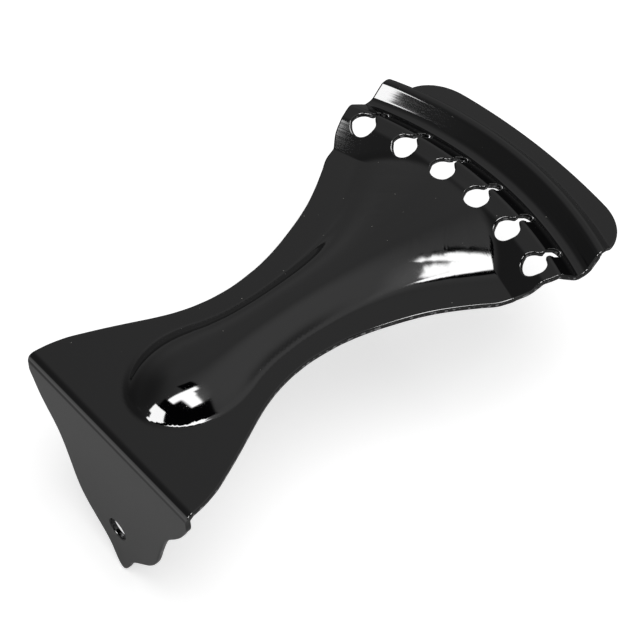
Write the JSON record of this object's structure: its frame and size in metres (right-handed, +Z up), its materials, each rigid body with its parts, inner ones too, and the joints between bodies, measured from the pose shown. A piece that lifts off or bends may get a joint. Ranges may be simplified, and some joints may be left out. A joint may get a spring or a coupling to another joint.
{
  "type": "guitar tailpiece",
  "caption": "Gloss black pressed steel guitar tailpiece: an end flap with a screw hole, a plate with a raised rib, and a ridge with keyholes for string ends behind a raised bar.",
  "frame": {"origin": "on the inner face of the end flap, on the centre line, 17 mm below the plate's upper face, where the flap seats against the guitar's end", "axes": "+Y from the end flap to the front edge, along the strings; +Z up from the guitar's top; +X to the right when looking along +Y"},
  "size_m": [0.0666, 0.118, 0.0537],
  "materials": {
    "black_coat": "gloss"
  },
  "bodies": {
    "root": {"tailpiece_pressing": "black_coat"}
  },
  "joints": []
}
